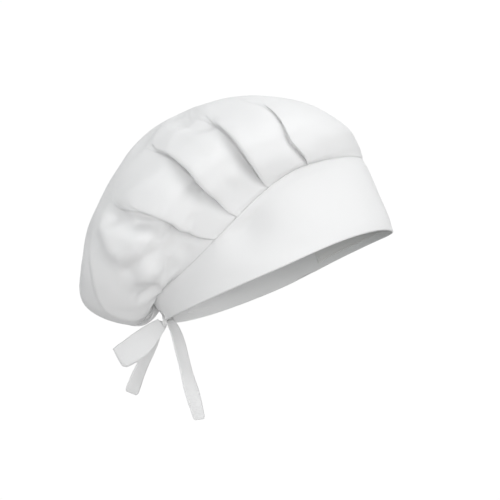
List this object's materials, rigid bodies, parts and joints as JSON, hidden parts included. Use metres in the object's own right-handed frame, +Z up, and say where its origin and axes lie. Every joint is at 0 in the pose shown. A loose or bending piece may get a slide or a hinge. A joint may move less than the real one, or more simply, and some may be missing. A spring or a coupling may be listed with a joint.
{
  "type": "chef toque",
  "caption": "Soft white chef's cap: a wide tapered headband, a pleated puffed crown that drapes to the back, and cloth ties knotted in a half-bow at the nape.",
  "frame": {"origin": "on the flat turned edge of the headband's lower rim, at the centre of the forehead", "axes": "+X towards the wearer's forehead, +Y to the wearer's left, +Z up, square to the plane of the rim"},
  "size_m": [0.2535, 0.1894, 0.2385],
  "materials": {
    "white_cloth": "plain-woven white poly-cotton, pressed",
    "interlining": "matt non-woven stiffener",
    "towelling": "looped cotton towelling",
    "elastic": "ribbed woven elastic tape",
    "label_satin": "blank satin tape",
    "thread": "polyester sewing thread"
  },
  "bodies": {
    "cap": {"headband_outer": "white_cloth", "headband_interlining": "interlining", "headband_facing": "white_cloth", "sweatband": "towelling", "care_label": "label_satin", "nape_casing": "white_cloth", "nape_elastic": "elastic", "crown_lower": "white_cloth", "left_tie": "white_cloth", "right_tie": "white_cloth", "left_tie_bartack": "thread", "right_tie_bartack": "thread", "bow_knot": "white_cloth"},
    "crown_top": {"crown_top": "white_cloth"},
    "bow_loop": {"bow_loop": "white_cloth"},
    "short_tail": {"short_tail": "white_cloth"},
    "long_tail": {"long_tail": "white_cloth"}
  },
  "joints": [
    {"name": "crown_slouch", "type": "hinge", "parent": "cap", "child": "crown_top", "pos_m": [-0.0988, 0, 0.045], "axis": [0, 1, 0], "range_deg": [-8, 6], "stiffness_Nm_per_rad": 0.15, "deforming": ["crown_lower"]},
    {"name": "bow_loop_swing", "type": "hinge", "parent": "cap", "child": "bow_loop", "pos_m": [-0.2087, -0.0026, -0.0019], "axis": [0, 1, 0], "range_deg": [-20, 10], "stiffness_Nm_per_rad": 0.004},
    {"name": "short_tail_swing", "type": "hinge", "parent": "cap", "child": "short_tail", "pos_m": [-0.2065, 0.0034, -0.0063], "axis": [0, 1, 0], "range_deg": [-8, 25], "stiffness_Nm_per_rad": 0.003},
    {"name": "long_tail_swing", "type": "hinge", "parent": "cap", "child": "long_tail", "pos_m": [-0.1981, -0.0005, -0.004], "axis": [0, 1, 0], "range_deg": [-25, 8], "stiffness_Nm_per_rad": 0.003}
  ]
}
